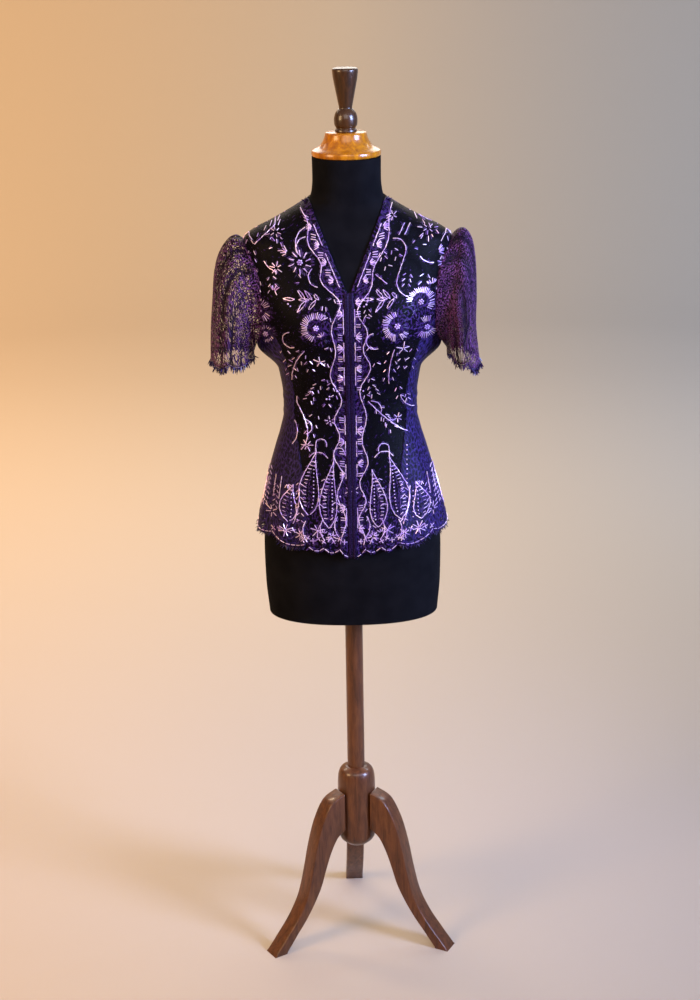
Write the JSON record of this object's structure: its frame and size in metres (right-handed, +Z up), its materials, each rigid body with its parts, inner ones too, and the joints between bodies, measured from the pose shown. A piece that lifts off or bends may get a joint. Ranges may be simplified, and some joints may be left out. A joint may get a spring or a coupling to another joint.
{
  "type": "lace kebaya on a limbless dress form",
  "caption": "Short-sleeved, V-necked lace kebaya blouse with a scalloped hem, worn by a limbless dress form on a turned wooden tripod stand.",
  "frame": {"origin": "on the floor under the middle of the whole object's box; the stand's own axis is at x 0.0069, y -0.039", "axes": "+Z up, the garment's front faces -Y, the wearer's left is +X"},
  "size_m": [0.4694, 0.3152, 1.62],
  "materials": {
    "embroidered_net": "dark purple tulle with embroidery threads",
    "side_lace": "plain close violet lace",
    "sleeve_lace": "open violet lace",
    "edge_lace": "close violet lace braid",
    "thread": "violet lace thread",
    "bead": "silver-lined lilac glass",
    "jersey": "black knitted jersey",
    "lacquered_wood": "red-brown lacquer"
  },
  "bodies": {
    "root": {"front_left": "embroidered_net", "front_right": "embroidered_net", "edge_strip_left": "edge_lace", "edge_strip_right": "edge_lace", "side_left": "side_lace", "side_right": "side_lace", "back": "embroidered_net", "sleeve_left": "sleeve_lace", "sleeve_right": "sleeve_lace", "cuff_fringe_left": "thread", "cuff_fringe_right": "thread", "form_torso": "jersey", "neck_cap": "lacquered_wood", "finial": "lacquered_wood", "pole": "lacquered_wood", "hub": "lacquered_wood", "leg_front_left": "lacquered_wood", "leg_front_right": "lacquered_wood", "leg_back": "lacquered_wood"}
  },
  "joints": []
}
